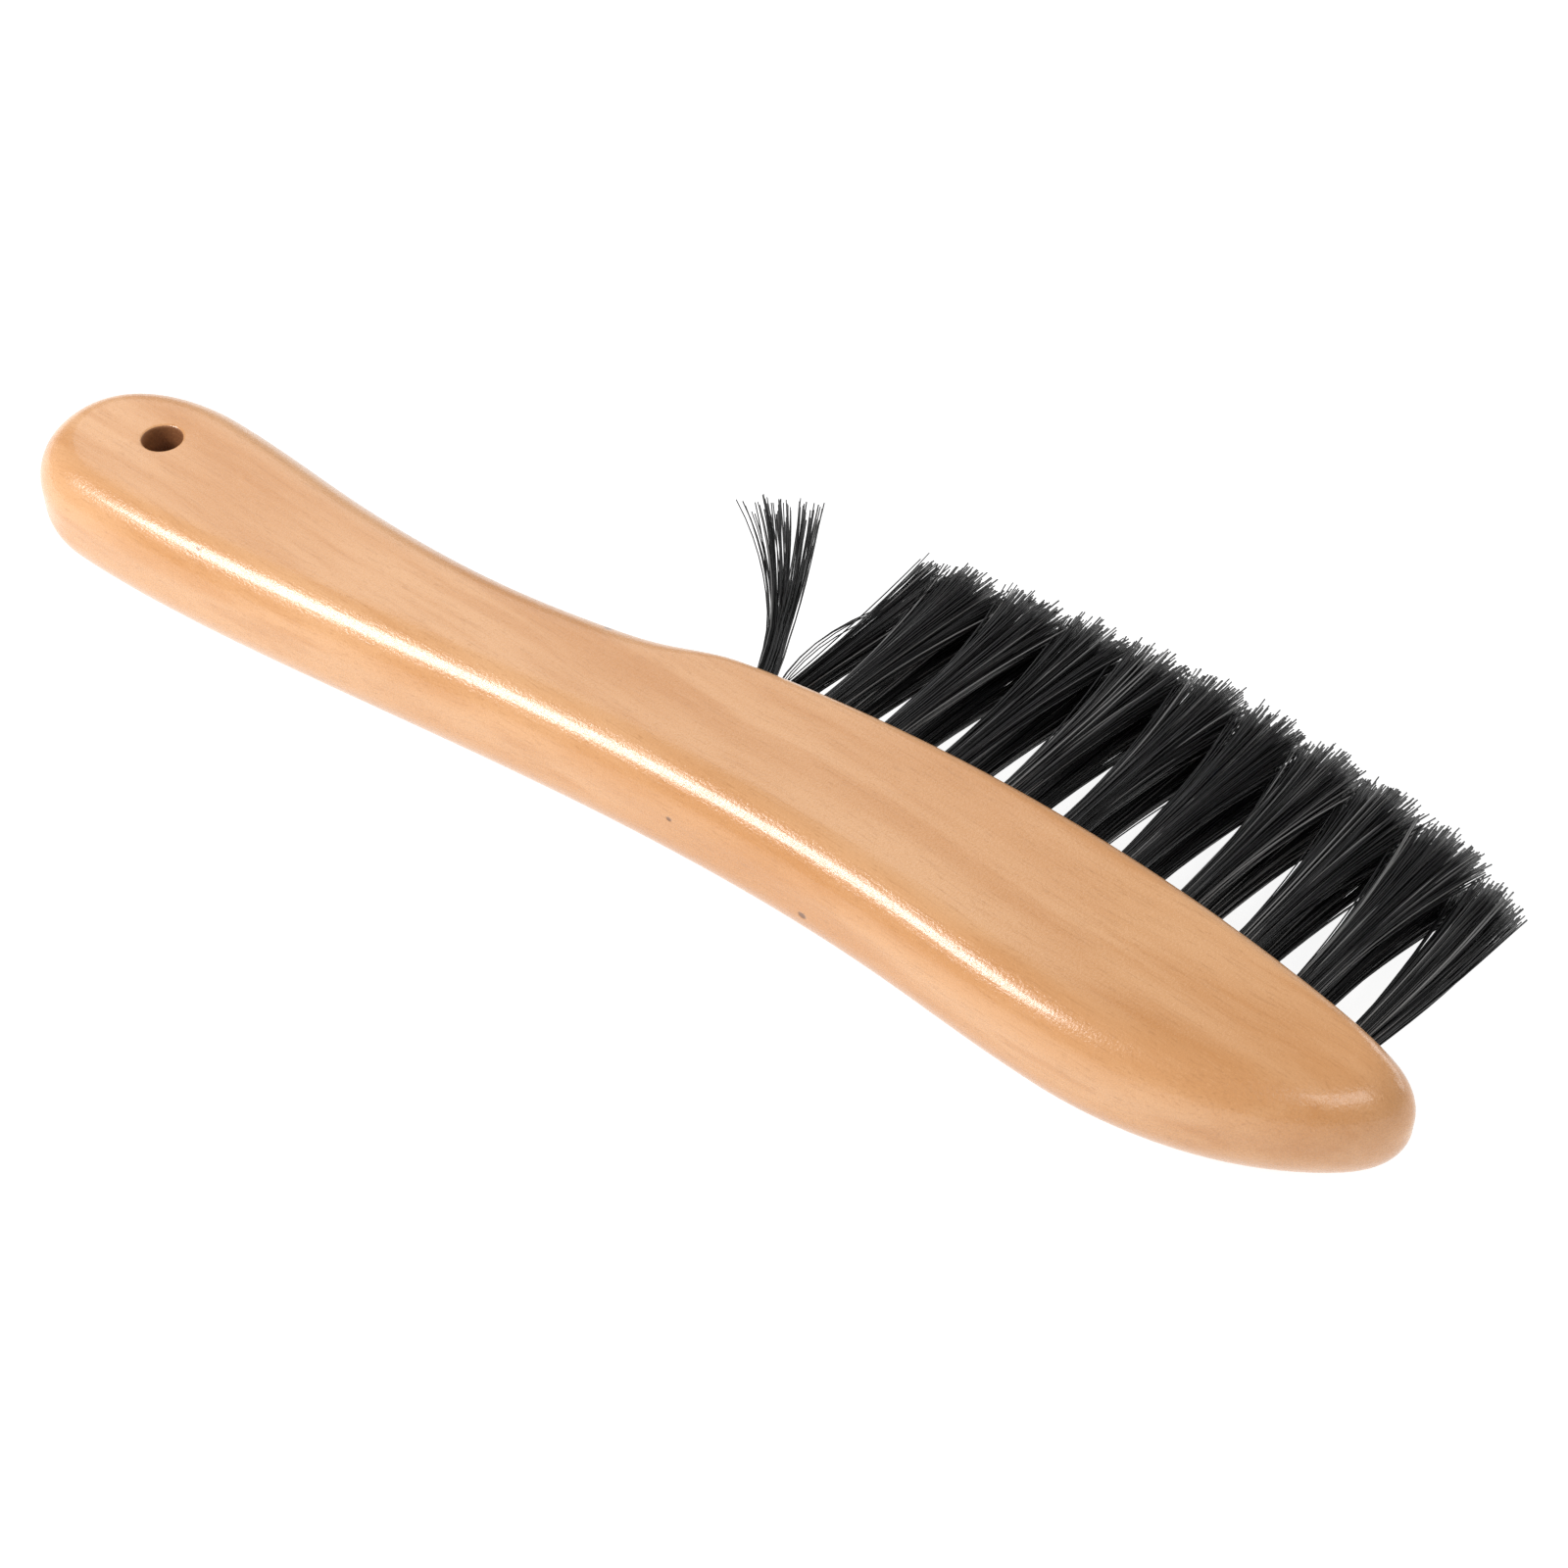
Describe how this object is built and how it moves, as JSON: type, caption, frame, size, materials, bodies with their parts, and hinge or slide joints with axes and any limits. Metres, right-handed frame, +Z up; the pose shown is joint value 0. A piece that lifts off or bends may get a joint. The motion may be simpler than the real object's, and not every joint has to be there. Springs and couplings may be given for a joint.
{
  "type": "clothes brush",
  "caption": "Wooden clothes brush with a curved handle, a hang hole in its end and stiff black bristles along one edge of the head.",
  "frame": {"origin": "middle of the footprint's bounding box, on the surface that the brush lies on with its flat side down", "axes": "+X from the handle to the nose, +Y the way the bristles point, +Z up through the thickness of the block"},
  "size_m": [0.2658, 0.0934, 0.023],
  "materials": {
    "wood": "clear gloss lacquer over light orange-tan hardwood",
    "bristle": "glossy black filaments",
    "staple_steel": "drawn steel wire"
  },
  "bodies": {
    "root": {"block": "wood", "tuft_upper_1": "bristle", "tuft_upper_2": "bristle", "tuft_upper_3": "bristle", "tuft_upper_4": "bristle", "tuft_upper_5": "bristle", "tuft_upper_6": "bristle", "tuft_upper_7": "bristle", "tuft_upper_8": "bristle", "tuft_upper_9": "bristle", "tuft_upper_10": "bristle", "tuft_lower_1": "bristle", "tuft_lower_2": "bristle", "tuft_lower_3": "bristle", "tuft_lower_4": "bristle", "tuft_lower_5": "bristle", "tuft_lower_6": "bristle", "tuft_lower_7": "bristle", "tuft_lower_8": "bristle", "tuft_lower_9": "bristle", "tuft_lower_10": "bristle", "tuft_nose": "bristle", "staple_upper_1": "staple_steel", "staple_upper_2": "staple_steel", "staple_upper_3": "staple_steel", "staple_upper_4": "staple_steel", "staple_upper_5": "staple_steel", "staple_upper_6": "staple_steel", "staple_upper_7": "staple_steel", "staple_upper_8": "staple_steel", "staple_upper_9": "staple_steel", "staple_upper_10": "staple_steel", "staple_lower_1": "staple_steel", "staple_lower_2": "staple_steel", "staple_lower_3": "staple_steel", "staple_lower_4": "staple_steel", "staple_lower_5": "staple_steel", "staple_lower_6": "staple_steel", "staple_lower_7": "staple_steel", "staple_lower_8": "staple_steel", "staple_lower_9": "staple_steel", "staple_lower_10": "staple_steel", "staple_nose": "staple_steel"}
  },
  "joints": []
}
